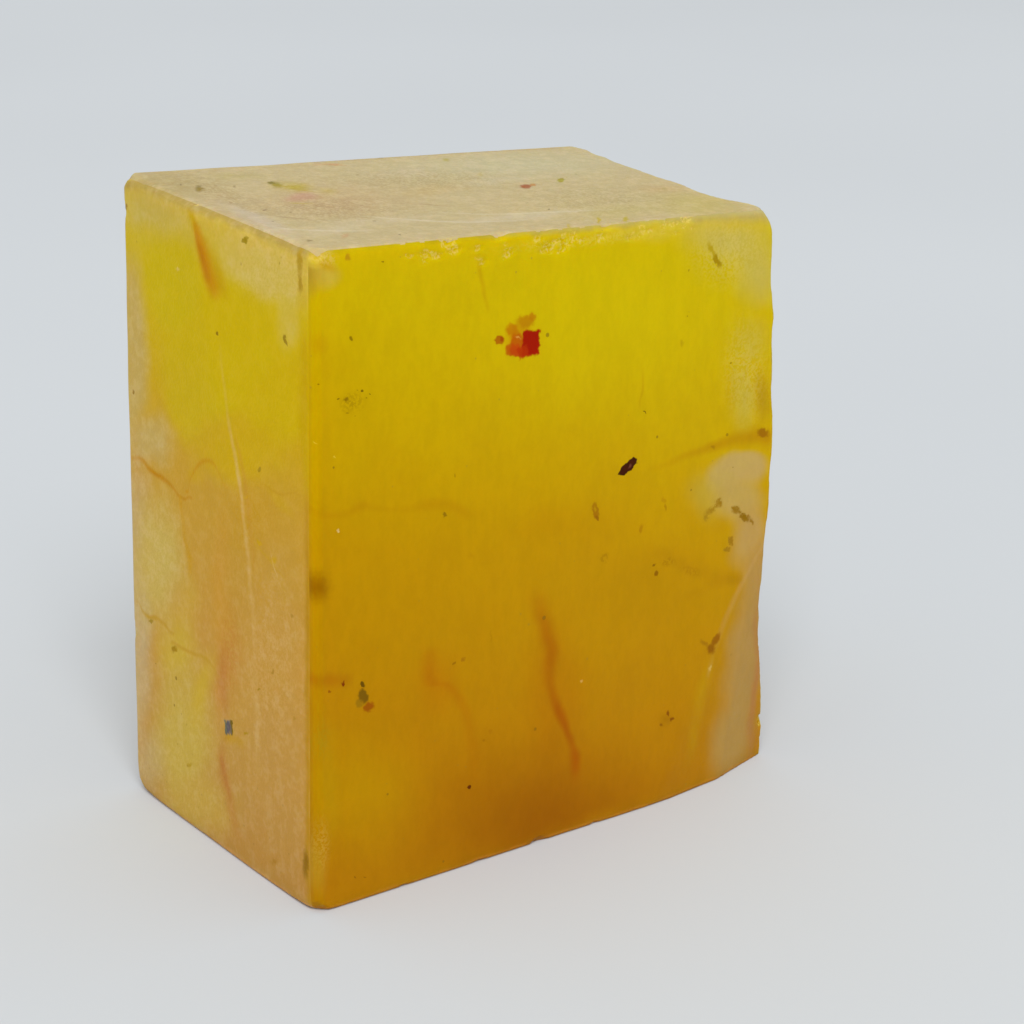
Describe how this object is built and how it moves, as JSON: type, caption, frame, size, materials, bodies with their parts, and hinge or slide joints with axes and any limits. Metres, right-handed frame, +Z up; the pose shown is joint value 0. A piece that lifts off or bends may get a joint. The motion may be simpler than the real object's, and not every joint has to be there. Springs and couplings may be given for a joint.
{
  "type": "rough sapphire",
  "caption": "Upright sawn block of cloudy yellow sapphire rough: flat saw cuts, one broken side, worn and chipped arrises. Stands on its flat base.",
  "frame": {"origin": "bottom centre of the block's box, on the surface it stands on", "axes": "+Z up the block; -Y towards the sawn front; +X towards the broken side; +Y front to back, the block's shortest extent"},
  "size_m": [0.0342, 0.0208, 0.0366],
  "materials": {
    "sapphire": "cloudy translucent yellow, frosted by the saw"
  },
  "bodies": {
    "root": {"sapphire_block": "sapphire"}
  },
  "joints": []
}
